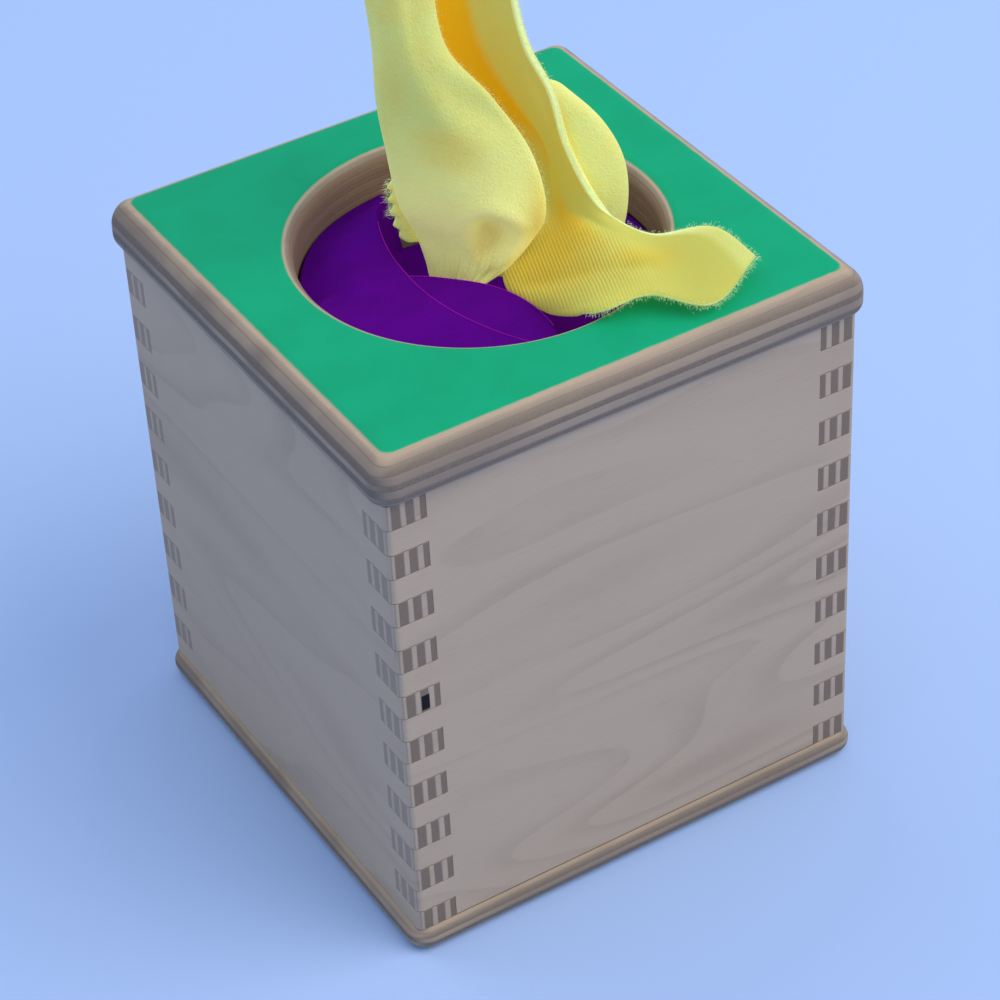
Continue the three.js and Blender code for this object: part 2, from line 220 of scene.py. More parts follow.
class Finish:
    """A material whose nodes are written as expressions."""

    def __init__(self, name, **constants):
        self.material = bpy.data.materials.new(name)
        self.material.use_nodes = True
        self.tree = self.material.node_tree
        self.shader = self.tree.nodes["Principled BSDF"]
        for socket, value in constants.items():
            self.shader.inputs[socket.replace("_", " ").title().replace("Ior", "IOR")].default_value = value

    def node(self, kind, settings=None, inputs=None, output=0):
        made = self.tree.nodes.new(kind)
        for name, value in (settings or {}).items():
            if name == "stops":
                self.set_stops(made.color_ramp, value)
            else:
                setattr(made, name, value)
        for name, value in (inputs or {}).items():
            self.plug(made.inputs[name], value)
        return Value(self, made.outputs[output])

    def plug(self, socket, value):
        if isinstance(value, Value):
            self.tree.links.new(value.socket, socket)
        elif socket.type == "RGBA":
            socket.default_value = (*tuple(value)[:3], 1)
        else:
            socket.default_value = value

    def set_stops(self, ramp, stops):
        while len(ramp.elements) < len(stops):
            ramp.elements.new(1)
        for element, (place, level) in zip(ramp.elements, stops):
            element.position = place
            element.color = (level, level, level, 1)

    def maths(self, operation, first, second):
        return self.node("ShaderNodeMath", {"operation": operation}, {0: first, 1: second})

    def parts(self, vector):
        split = self.node("ShaderNodeSeparateXYZ", None, {0: vector}).socket.node
        return [Value(self, socket) for socket in split.outputs]

    def place(self):
        """Place on the piece in metres."""
        return self.node("ShaderNodeTexCoord", None, None, "Object")

    def facing(self):
        return self.node("ShaderNodeNewGeometry", None, None, "Normal")

    def shares(self):
        """Shares across and down the flat cloth."""
        return self.parts(self.node("ShaderNodeUVMap", {"uv_map": CLOTH_MAP}))[:2]

    def ramp(self, value, low, high):
        """0 up to low, 1 from high, smooth between."""
        settings = {"interpolation_type": "SMOOTHSTEP"}
        return self.node("ShaderNodeMapRange", settings, {"Value": value, "From Min": low, "From Max": high})

    def grain(self, place, spacing, detail=2, distortion=0):
        """Noise from 0 to 1 whose blotches have the given spacing, one number or one for each axis."""
        spread = spacing if isinstance(spacing, tuple) else (spacing,) * 3
        shrink = tuple(1 / (step * MM) for step in spread)
        scaled = self.node("ShaderNodeVectorMath", {"operation": "MULTIPLY"}, {0: place, 1: shrink})
        inputs = {"Vector": scaled, "Scale": 1, "Detail": detail, "Distortion": distortion}
        return self.node("ShaderNodeTexNoise", None, inputs, "Fac")

    def mix(self, share, first, second):
        return self.node("ShaderNodeMix", {"data_type": "RGBA"}, {0: share, 6: first, 7: second}, 2)

    def hollow(self, reach):
        """0 in the open and up to 1 deep in a fold of the piece itself."""
        settings = {"samples": 8, "only_local": True}
        return 1 - self.node("ShaderNodeAmbientOcclusion", settings, {"Distance": reach * MM}, "AO")

    def stops(self, stops, value):
        return self.node("ShaderNodeValToRGB", {"stops": stops}, {0: value})

    def within(self, place, low, high):
        """1 inside a box given by two corners in millimetres, 0 outside."""
        mask = 1.0
        for axis, start, stop in zip(self.parts(place), low, high):
            rise = self.ramp(axis / MM, start - FLAW_AND_SHADOW_SOFT, start + FLAW_AND_SHADOW_SOFT)
            mask = rise * (1 - self.ramp(axis / MM, stop - FLAW_AND_SHADOW_SOFT, stop + FLAW_AND_SHADOW_SOFT)) * mask
        return mask

    def patch(self, down, across, centre, reach):
        """A soft spot on a cloth, given as shares down and across it."""
        first = (down - centre[0]) / reach[0]
        second = (across - centre[1]) / reach[1]
        return 1 - self.ramp(self.maths("SQRT", first * first + second * second, 0), 0.2, 1)

    def colour(self, value):
        self.plug(self.shader.inputs["Base Color"], value)

    def overlay(self, share, colour):
        """Lays another colour over the one that is there."""
        below = Value(self, self.shader.inputs["Base Color"].links[0].from_socket)
        self.colour(self.mix(share, below, colour))

    def glow(self, strength):
        """Painted glow: the cloth gives off a little light of its own colour, standing in for light that thin
        cloth lets through.
        """
        inputs = self.shader.inputs
        inputs["Emission Strength"].default_value = strength
        self.tree.links.new(inputs["Base Color"].links[0].from_socket, inputs["Emission Color"])

    def roughness(self, value):
        self.plug(self.shader.inputs["Roughness"], value)

    def bump(self, height, depth):
        inputs = {"Height": height, "Distance": depth * MM, "Strength": 1}
        self.plug(self.shader.inputs["Normal"], self.node("ShaderNodeBump", None, inputs))


def ply_stops(edges, soft):
    """Ramp that is 1 in plies with the face's grain and 0 in those across it, soft at each glue line."""
    stops = [(0, 1)]
    for count, edge in enumerate(edges[1:-1]):
        stops += [((edge - soft) / edges[-1], 1 - count % 2), ((edge + soft) / edges[-1], count % 2)]
    return stops


def glue_stops(edges, soft):
    stops = [(0, 0)]
    for edge in edges[1:-1]:
        stops += [((edge - soft) / edges[-1], 0), (edge / edges[-1], 1), ((edge + soft) / edges[-1], 0)]
    return stops


def plywood(name, depth_of, grain, cross, edges, end_grain, edge_shade, flaws_and_shadow=(), bore=None):
    """Plywood as a solid: plies by depth in millimetres, whose grain runs along two axes in turn."""
    colours = bpy.context.scene.tissue_box_colours
    finish = Finish(name, specular_ior_level=0.2)
    place = finish.place()
    axes = finish.parts(place)
    facing = [abs(part) for part in finish.parts(finish.facing())]
    depth = depth_of(*axes) / MM + (finish.grain(place, 9) - 0.5) * 0.3
    share = depth / edges[-1]
    along = finish.stops(ply_stops(edges, PLY_SOFT), share)
    glue = finish.stops(glue_stops(edges, GLUE_SOFT), share)
    end = finish.ramp(along * facing[grain] + (1 - along) * facing[cross], 0.52, 0.98)
    end = end * finish.ramp(depth, edges[1] * 0.7, edges[1])
    figure = finish.grain(place, lengthwise(grain, 38, 190), 1, 0.35)
    ring = finish.maths("FRACT", figure * 11, 0)
    growth = finish.ramp(ring, 0.35, 0.93) * (1 - finish.ramp(ring, 0.93, 1))
    cloud = finish.grain(place, lengthwise(grain, 20, 70), 2, 0.4)
    fibre = finish.grain(place, lengthwise(grain, 0.35, 6), 2)
    speck = finish.grain(place, 0.5, 2)
    streak = growth * finish.ramp(cloud, 0.25, 0.6) * 0.25 + finish.ramp(cloud, 0.48, 0.75) * 0.12
    streak = streak + finish.ramp(fibre, 0.5, 0.8) * 0.2
    long_grain = finish.mix(streak, colours.birch, colours.birch_streak)
    end_tone = finish.mix(finish.ramp(speck, 0.3, 0.7) * 0.25, end_grain, colours.birch_streak)
    # Painted shade: rounded rims and eased edges turn darker and mottled where the surface turns from the
    # plate's face
    edge_on = finish.ramp(1 - facing[3 - grain - cross], 0.005, 0.28)
    rim_mix = edge_on * edge_shade * (0.7 + finish.ramp(cloud, 0.35, 0.65) * 0.5)
    long_grain = finish.mix(rim_mix, long_grain, end_grain)
    wood = finish.mix(end, long_grain, end_tone)
    wood = finish.mix(glue * edge_on * 0.4, wood, colours.end_grain)
    if bore:
        reach = finish.maths("SQRT", axes[0] * axes[0] + axes[1] * axes[1], 0) / MM
        inside = 1 - finish.ramp(reach, bore / MM + 0.4, bore / MM + 1.2)
        wood = finish.mix(inside * 0.8, wood, colours.bore)
    # Real gaps and cracks, and the painted shadow line over the base
    for low, high in flaws_and_shadow:
        wood = finish.mix(finish.within(place, low, high), wood, colours.void)
    finish.colour(wood)
    finish.roughness(0.55 + end * 0.2)
    finish.bump(fibre * 0.5 + figure * 0.3 - glue * edge_on - end * speck, 0.06)
    return finish.material


def lengthwise(grain, spacing, along):
    """Spacings of a noise that is drawn out along the grain."""
    return tuple(along if axis == grain else spacing for axis in range(3))


def green_laminate():
    colours = bpy.context.scene.tissue_box_colours
    finish = Finish("green_laminate", specular_ior_level=0.12)
    place = finish.place()
    height = finish.parts(place)[2]
    cloud = finish.grain(place, 14, 3, 0.5)
    fine = finish.grain(place, 0.5, 2)
    mottle = finish.ramp(cloud, 0.35, 0.7) * 0.7 + fine * 0.2
    green = finish.mix(mottle, colours.green, colours.green_mottle)
    rim_mix = finish.ramp((LID_TOP - height) / MM + (finish.grain(place, 3) - 0.5) * 0.1, 0.24, 0.46)
    finish.colour(finish.mix(rim_mix, green, colours.birch))
    finish.roughness(0.5 + fine * 0.12)
    finish.bump(fine, 0.03)
    return finish.material


def plush(name, colour, deep, nap=0.6, depth=0.25, **constants):
    """Short pile: tufts, a cloudy nap and painted shade in the folds."""
    finish = Finish(name, specular_ior_level=0.05, **constants)
    place = finish.place()
    tuft = finish.grain(place, nap, 3)
    cloud = finish.grain(place, 9, 2, 0.5)
    # Painted shade: the darker colour is mixed in where the piece hides itself
    fold = finish.ramp(finish.hollow(14), 0.3, 0.9)
    shade = finish.ramp(tuft, 0.35, 0.65) * 0.12 + finish.ramp(cloud, 0.4, 0.7) * 0.16
    finish.colour(finish.mix(fold, finish.mix(shade, colour, deep), deep))
    finish.roughness(0.85 + tuft * 0.15)
    finish.bump(tuft + cloud * 0.6, depth)
    return finish


THIN_CLOTH = {"subsurface_weight": 0.6, "subsurface_radius": (1, 0.75, 0.2), "subsurface_scale": 3 * MM}

# Spots of painted shade on the yellow cloth: centre and reach as shares down and across it, and strength
PILE_SHADE_SPOTS = (
    ("yellow_fold_shade", (0.62, 0), (0.2, 0.055), 0.5),
    ("yellow_fold_shade", (0.42, 0.13), (0.1, 0.07), 0.25),
    ("yellow_shade", (0.74, 0.095), (0.13, 0.06), 0.4),
)
# Spots of painted golden shade on the ribbed side: centre and reach as shares down and across it, and
# strength
GOLD_SHADE_SPOTS = (
    ((0.66, 0.6), (0.2, 0.13), 0.6),
    ((0.76, 0.54), (0.24, 0.14), 0.55),
    ((0.83, 0.8), (0.1, 0.14), 0.3),
)


def yellow_pile():
    """The yellow cloth's pile side, with painted golden shade in its folds, painted shade in its dent and
    along its gathers where it is drawn together, and painted light towards its bottom.
    """
    colours = bpy.context.scene.tissue_cloth_colours
    finish = plush("yellow_plush", colours.yellow, colours.yellow_fold_shade, 0.5, 0.42, **THIN_CLOTH)
    across, down = finish.shares()
    # Painted light, growing towards the bottom of the pile side
    finish.overlay(finish.ramp(down, 0.28, 0.66), colours.yellow_painted_light)
    for colour, centre, reach, strength in PILE_SHADE_SPOTS:
        finish.overlay(finish.patch(down, across, centre, reach) * strength, getattr(colours, colour))
    # Painted shade along the gathers near the hole
    streaks = finish.grain(finish.node("ShaderNodeCombineXYZ", None, {0: across, 1: down}), (7, 160, 1), 2)
    drawn = finish.ramp(down, 0.72, 0.88) * (1 - finish.ramp(across, 0.16, 0.24))
    finish.overlay(finish.ramp(streaks, 0.35, 0.75) * drawn * 0.45, colours.yellow_shade)
    finish.glow(PILE_GLOW)
    return finish.material


def cut_border():
    """The yellow cloth's thick cut edge, palest where it stands."""
    colours = bpy.context.scene.tissue_cloth_colours
    finish = plush("yellow_border_plush", colours.yellow_border, colours.yellow, 0.5, 0.3, **THIN_CLOTH)
    _, down = finish.shares()
    finish.overlay(finish.ramp(down, 0.74, 0.92) * 0.7, colours.yellow_back)
    finish.glow(EDGE_GLOW)
    return finish.material


def ribbed_back():
    """The yellow cloth's other side: knitted ribs, a thick pale border, painted golden shade where the cloth
    folds and painted shade between the ribs and on the flap's tip.
    """
    sizes = bpy.context.scene.tissue_cloth_sizes
    colours = bpy.context.scene.tissue_cloth_colours
    finish = Finish("yellow_ribbed_back", specular_ior_level=0.05, **THIN_CLOTH)
    place = finish.place()
    across, down = finish.shares()
    tuft = finish.grain(place, 0.6, 3)
    cloud = finish.grain(place, 8, 2, 0.5)
    border = finish.ramp(across, 0.95, 0.975) * (1 - finish.ramp(down, 0.74, 0.88) * 0.75)
    x, y, z = finish.parts(place)
    over_ribs = x * 0.92 - y * 0.34 + z * 0.2 + (cloud - 0.5) * 0.3 * MM
    rib = finish.maths("SINE", over_ribs * (2 * math.pi / sizes.rib_spacing), 0) * 0.5 + 0.5
    laid = finish.ramp(down, 0.58, 0.8) * (1 - finish.ramp(across, 0.64, 0.84))
    laid = laid * (1 - finish.ramp(down, 0.9, 0.98) * 0.6)
    # Painted shade: golden where the cloth folds
    gold_shade = (1 - finish.ramp(across, 0.53, 0.64)) * (1 - finish.ramp(down, 0.32, 0.56))
    for centre, reach, strength in GOLD_SHADE_SPOTS:
        gold_shade = finish.maths("MAXIMUM", gold_shade, finish.patch(down, across, centre, reach) * strength)
    gold_shade = gold_shade + finish.ramp(cloud, 0.4, 0.7) * 0.08
    ground = finish.mix(gold_shade, colours.yellow_back, colours.yellow_fold_shade)
    # Painted shade between the ribs where the cloth lies
    ground = finish.mix(rib * laid * 0.5, ground, colours.yellow_shade)
    # Painted shade on the flap's tip, which faces the lamp
    ground = finish.mix(finish.patch(down, across, (1, 0.95), (0.35, 0.35)) * 0.22, ground, SHADOW)
    finish.colour(finish.mix(border, ground, colours.yellow_border))
    finish.glow(BACK_GLOW)
    finish.roughness(0.85 + tuft * 0.15)
    finish.bump((tuft + cloud * 0.6) * (0.4 + border) - rib * laid * 1.2, 0.25)
    return finish.material


# Modelling


ROUND_STEPS = 12
LIP_STEPS = 10
HOLE_STEPS = 160


def clear_selection():
    if bpy.context.object and bpy.context.object.mode != "OBJECT":
        bpy.ops.object.mode_set(mode="OBJECT")
    bpy.ops.object.select_all(action="DESELECT")


def make_active(piece):
    clear_selection()
    piece.select_set(True)
    bpy.context.view_layer.objects.active = piece


def plate(name, half, heights, rounds, sizes):
    """A square plate with rounded corners and rounded lower and upper rims, as a stack of outlines."""
    bottom, top = heights
    under, over = rounds
    quarter = [step / ROUND_STEPS * math.pi / 2 for step in range(ROUND_STEPS + 1)]
    levels = [(under * (1 - math.sin(turn)), bottom + under * (1 - math.cos(turn))) for turn in quarter]
    levels += [(over * (1 - math.cos(turn)), top - over * (1 - math.sin(turn))) for turn in quarter]
    points = []
    for inset, height in levels:
        corner = max(sizes.corner - inset, sizes.least_corner)
        middle = half - inset - corner
        for quadrant in range(4):
            start = quadrant * math.pi / 2
            centre_x = middle * (1 if quadrant in (0, 3) else -1)
            centre_y = middle * (1 if quadrant in (0, 1) else -1)
            for turn in quarter:
                x = centre_x + corner * math.cos(start + turn)
                points.append((x, centre_y + corner * math.sin(start + turn), height))
    around = 4 * len(quarter)
    faces = [tuple(reversed(range(around))), tuple(range(len(points) - around, len(points)))]
    for level in range(len(levels) - 1):
        for step in range(around):
            low = level * around + step
            following = level * around + (step + 1) % around
            faces.append((low, following, following + around, low + around))
    return new_piece(name, points, faces)


def modify(piece, kind, **settings):
    make_active(piece)
    modifier = piece.modifiers.new(kind.title(), kind)
    for name, value in settings.items():
        setattr(modifier, name, value)
    bpy.ops.object.modifier_apply(modifier=modifier.name)


def keep_side(piece, height, above):
    """Cuts a piece at a height, keeps one side and closes it."""
    make_active(piece)
    bpy.ops.object.mode_set(mode="EDIT")
    bpy.ops.mesh.select_all(action="SELECT")
    bpy.ops.mesh.bisect(
        plane_co=(0, 0, height), plane_no=(0, 0, 1), use_fill=True, clear_inner=above, clear_outer=not above)
    bpy.ops.object.mode_set(mode="OBJECT")


def finish_wood(piece, material, node):
    make_active(piece)
    bpy.ops.object.shade_smooth_by_angle(angle=math.radians(35))
    modify(piece, "WEIGHTED_NORMAL", keep_sharp=True)
    dress(piece, material)
    settle(piece, "box", node)


def dress(piece, *materials):
    piece.data.materials.clear()
    for material in materials:
        piece.data.materials.append(material)


def settle(piece, body, *nodes):
    if nodes:
        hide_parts(*nodes)
    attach(piece, body)


def new_piece(name, points, faces):
    clear_selection()
    mesh = bpy.data.meshes.new(name)
    mesh.from_pydata(points, [], faces)
    piece = bpy.data.objects.new(name, mesh)
    bpy.context.collection.objects.link(piece)
    make_active(piece)
    return piece


def grid_faces(rows, columns, first=0):
    """Quads of a grid of points listed row by row."""
    faces = []
    for row in range(rows - 1):
        for column in range(columns - 1):
            corner = first + row * columns + column
            faces.append((corner, corner + 1, corner + columns + 1, corner + columns))
    return faces


def smooth_step(value):
    share = min(max(value, 0), 1)
    return share * share * (3 - 2 * share)


def curve_through(points, steps):
    """Centripetal curve through points, with the same number of steps on each stretch."""
    padded = [2 * points[0] - points[1], *points, 2 * points[-1] - points[-2]]
    line = []
    for step in range(steps + 1):
        place = step / steps * (len(points) - 1)
        stretch = min(int(place), len(points) - 2)
        t = place - stretch
        a, b, c, d = padded[stretch:stretch + 4]
        before, between, after = (max((q - p).length, 1e-6) ** 0.5 for p, q in ((a, b), (b, c), (c, d)))
        leave = ((b - a) / before - (c - a) / (before + between) + (c - b) / between) * between
        arrive = ((c - b) / between - (d - b) / (between + after) + (d - c) / after) * between
        line.append(
            (2 * t ** 3 - 3 * t ** 2 + 1) * b + (t ** 3 - 2 * t ** 2 + t) * leave
            + (3 * t ** 2 - 2 * t ** 3) * c + (t ** 3 - t ** 2) * arrive)
    return line


def fibres(name, roots, radius):
    """Loose fibres as thin points, each from a root along a way."""
    points = []
    faces = []
    for root, way in roots:
        side = way.orthogonal().normalized() * radius
        other = way.cross(side).normalized() * radius
        first = len(points)
        points += [root + side, root - side / 2 + other * 0.87, root - side / 2 - other * 0.87, root + way]
        faces += [(first + start, first + (start + 1) % 3, first + 3) for start in range(3)]
        faces.append((first + 2, first + 1, first))
    return new_piece(name, points, faces)


def edge_roots(edge, inner, lengths, density, seed):
    """Roots of fibres along a cloth's edge, so many to a millimetre, that leave the line inside it."""
    draw = random.Random(seed)
    roots = []
    for start, end, within in zip(edge, edge[1:], inner):
        for _ in range(round((end - start).length / MM * density + draw.random())):
            stray = Vector((draw.gauss(0, 0.4), draw.gauss(0, 0.4), draw.gauss(0, 0.4)))
            out = (start - within).normalized() + stray
            root = start.lerp(end, draw.random()) + stray * MM
            roots.append((root, out.normalized() * draw.uniform(*lengths) * MM))
    return roots


def surface_through(guides, rows, columns):
    """Rows of points on a smooth surface through guide lines that run down a cloth."""
    lines = [curve_through([Vector(point) for point in guide], rows) for guide in guides]
    return [curve_through([line[row] for line in lines], columns) for row in range(rows + 1)]


# Pieces


# Depths in millimetres at which the plies begin and end, and the share of end grain's colour painted as shade
# on the rounded edges
BASE_PLIES = (0, 0.9, 1.9, 3, 4.2, 6)
WALL_PLIES = (0, 0.65, 1.4, 3.6, 4.8, 6.8, 8.15, 9.5)
LID_PLIES = (0, 1.2, 2.85, 4.6, 5.95, 7.85, 9.15, 11)
BASE_SHADE = 0.6
WALL_SHADE = 0.1
LID_SHADE = 0.58

# Dark places in the plywood, each a box in millimetres: a gap in a ply, a crack and a painted shadow along
# the foot of the front wall over the base
PLY_GAP = ((-53.5, -60, 69.4), (-51.5, -57, 73.4))
CRACK = ((48.8, -60, 55), (54.2, -57, 55.02))
BASE_SHADOW_LINE = ((-60, -60, 5.8), (60, -57, 6.2))


class TISSUE_OT_base(bpy.types.Operator):
    """Make the base panel with its rounded edge"""

    bl_idname = "tissue_box.base"
    bl_label = "Base"

    def execute(self, context):
        sizes = context.scene.tissue_box_sizes
        piece = plate("base_plywood", BASE_HALF, (0, BASE_TOP), (sizes.base_round, sizes.base_round), sizes)
        end_grain = context.scene.tissue_box_colours.end_grain
        material = plywood(
            "base_plywood", lambda x, y, z: BASE_TOP - z, X, Y, BASE_PLIES, end_grain, BASE_SHADE)
        finish_wood(piece, material, "base_panel")
        return {"FINISHED"}


class TISSUE_OT_walls(bpy.types.Operator):
    """Make the four finger-jointed walls"""

    bl_idname = "tissue_box.walls"
    bl_label = "Walls"

    def execute(self, context):
        colours = context.scene.tissue_box_colours
        front = plywood(
            "front_plywood", lambda x, y, z: WALL_HALF - abs(y), X, Z, WALL_PLIES, colours.front_finger,
            WALL_SHADE, (CRACK, BASE_SHADOW_LINE))
        side = plywood(
            "side_plywood", lambda x, y, z: WALL_HALF - abs(x), Y, Z, WALL_PLIES, colours.side_finger,
            WALL_SHADE, (PLY_GAP,))
        for name, material in (("front", front), ("back", front), ("left", side), ("right", side)):
            self.make_wall(context, f"wall_{name}", material)
        return {"FINISHED"}

    def make_wall(self, context, node, material):
        clear_selection()
        piece = bpy.data.objects.new(f"{node}_plywood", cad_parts[node].data.copy())
        context.collection.objects.link(piece)
        make_active(piece)
        bpy.ops.object.mode_set(mode="EDIT")
        bpy.ops.mesh.select_all(action="SELECT")
        bpy.ops.mesh.remove_doubles(threshold=1e-6)
        bpy.ops.mesh.dissolve_limited(angle_limit=math.radians(1))
        bpy.ops.object.mode_set(mode="OBJECT")
        ease = context.scene.tissue_box_sizes.finger_ease
        modify(piece, "BEVEL", width=ease, segments=2, limit_method="ANGLE", angle_limit=math.radians(40))
        finish_wood(piece, material, node)


class TISSUE_OT_lid(bpy.types.Operator):
    """Make the lid panel and its green laminate, with the round hole"""

    bl_idname = "tissue_box.lid"
    bl_label = "Lid"

    def execute(self, context):
        sizes = context.scene.tissue_box_sizes
        rounds = (sizes.lid_under_round, sizes.lid_round)
        panel = plate("lid_plywood", LID_HALF, (LID_BOTTOM, LID_TOP), rounds, sizes)
        plug = self.hole_plug(sizes)
        modify(panel, "BOOLEAN", object=plug, operation="DIFFERENCE", solver="EXACT")
        bpy.data.objects.remove(plug)
        make_active(panel)
        bpy.ops.object.duplicate()
        laminate = context.object
        laminate.name = "lid_green_laminate"
        keep_side(panel, LAMINATE_BOTTOM, above=False)
        keep_side(laminate, LAMINATE_BOTTOM, above=True)
        end_grain = context.scene.tissue_box_colours.end_grain
        material = plywood(
            "lid_plywood", lambda x, y, z: LAMINATE_BOTTOM - z, X, Y, LID_PLIES, end_grain, LID_SHADE,
            bore=sizes.hole_radius)
        finish_wood(panel, material, "lid_panel")
        finish_wood(laminate, green_laminate(), "lid_laminate")
        return {"FINISHED"}

    def hole_plug(self, sizes):
        """The hole as a solid: a cylinder that flares out at the lip."""
        clear_selection()
        bottom = LID_BOTTOM - sizes.lip_round
        start = LID_TOP - sizes.lip_round
        bpy.ops.mesh.primitive_cylinder_add(
            vertices=HOLE_STEPS, radius=sizes.hole_radius, depth=start - bottom,
            location=(0, 0, (start + bottom) / 2))
        plug = bpy.context.object
        bpy.ops.object.transform_apply(location=True, rotation=True, scale=True)
        bpy.ops.object.mode_set(mode="EDIT")
        bpy.ops.mesh.select_mode(type="FACE")
        bpy.ops.mesh.select_all(action="DESELECT")
        shape = bmesh.from_edit_mesh(plug.data)
        for face in shape.faces:
            face.select_set(face.normal.z > 0.9)
        bmesh.update_edit_mesh(plug.data)
        radius = sizes.hole_radius
        height = start
        for step in range(1, LIP_STEPS + 1):
            turn = step / LIP_STEPS * math.pi / 2
            next_height = start + sizes.lip_round * math.sin(turn)
            next_radius = sizes.hole_radius + sizes.lip_round * (1 - math.cos(turn))
            self.grow(next_height - height, next_radius / radius)
            height = next_height
            radius = next_radius
        self.grow(sizes.lip_round, 1)
        bpy.ops.object.mode_set(mode="OBJECT")
        return plug

    def grow(self, rise, spread):
        bpy.ops.mesh.extrude_region_move(TRANSFORM_OT_translate={"value": (0, 0, rise)})
        bpy.ops.transform.resize(value=(spread, spread, 1))


# Guide lines of the yellow cloth, each from its top down, in millimetres from the hole's middle on the lid
YELLOW_GUIDES = [
    [(-3, 8, 76), (-4, 2, 47), (3, -4, 35), (9, -9, 22),
     (11, -11, 8), (10, -9, 1), (6, -4.5, -7.5), (-1.5, -0.5, -15)],
    [(-10, 9, 78), (-12, 3, 49), (-10, 0, 37), (-6, -3, 25),
     (-4, -4, 10), (-2, -1, 0), (-2, 1, -9), (-3.5, 4.5, -17)],
    [(-16, 16, 76), (-14, 14, 45), (-14, 14, 31), (-13, 13, 19),
     (-11, 13, 5), (-8, 12.5, -3), (-5.5, 12.5, -12), (-4, 12.5, -21)],
    [(-7, 17, 73), (-4, 15, 42), (1, 14, 29), (5, 11, 16),
     (8, 8, 2), (9, 8, -7), (9, 7, -12), (8, 6, -18)],
    [(3, 12, 71), (7, 12, 39), (13, 10, 26), (20, 5, 14),
     (19, 1, 0), (12.5, -9.5, -3.5), (2, -10.5, -8.5), (2.2, -29.5, -5.8)],
    [(6, 11, 71), (10, 9, 40), (15, 6, 27), (20, 1, 14),
     (20, -4, 2), (17, -16, 1), (12, -29, 2), (4, -44, 3)],
    [(8, 8, 72), (12, 5, 41), (16, 2, 28), (20, -2, 16),
     (21, -9, 3), (21, -22, 2), (18, -35, 4), (13, -47, 5)],
    [(10, 6, 72), (13, 2, 42), (17, -1, 30), (20, -5, 17),
     (22, -12, 4), (24, -27, 3), (25, -40, 5), (23, -55, 3)],
    [(12, 4, 72), (14, -1, 43), (18, -4, 31), (19, -8, 18),
     (24, -15, 4), (27, -28, 4), (36, -38, 8), (41, -46, 3)],
]

YELLOW_LOBE_GUIDES = [
    [(22.5, 2, 28.5), (30, -1.5, 17.5), (33, -4, 7), (32, -6, -5), (29, -5, -13)],
    [(20, 0.3, 31), (28.5, -5.5, 20), (32, -8.5, 9.5), (30.6, -10, -3), (27.5, -7.5, -13)],
    [(17.5, 0.4, 32.5), (23.6, -4.8, 21), (26.4, -8.8, 10), (26.7, -10, -2.6), (25.5, -8.5, -13)],
    [(15, 1.5, 33), (19, -2, 20), (21, -7, 9), (23, -8, -4), (23, -8.5, -13)],
]

YELLOW_EDGE_GUIDES = [
    [(-6, 15.5, 9), (-6, 14.5, 4), (-5.5, 14.5, -3), (-5, 14.5, -8)],
    [(-11.2, 16.6, 9), (-12.6, 16.4, 7.6), (-11.4, 16.2, 6.2), (-12.9, 16, 4.8),
     (-11.6, 15.8, 3.2), (-12.8, 15.7, 1.6), (-11.5, 15.6, 0), (-12.3, 15.5, -1.8),
     (-10.9, 15.3, -3.4), (-11.1, 15.2, -5), (-9.4, 15, -7)],
]

TISSUE_FLAT = (0.1457, 0.1457)

# Forms on the yellow cloth in millimetres, and its gathers' spacing as a share of its width
DENT_DEPTH = 2.2
BROW_RISE = 0.7
GATHER_RISE = 0.5
WAVE_RISE = 1.1
CURL_RISE = 1.6
LOOSE_RISE = 1.6
CREASE_RISE = 1.2
GATHER_SPACING = 0.022


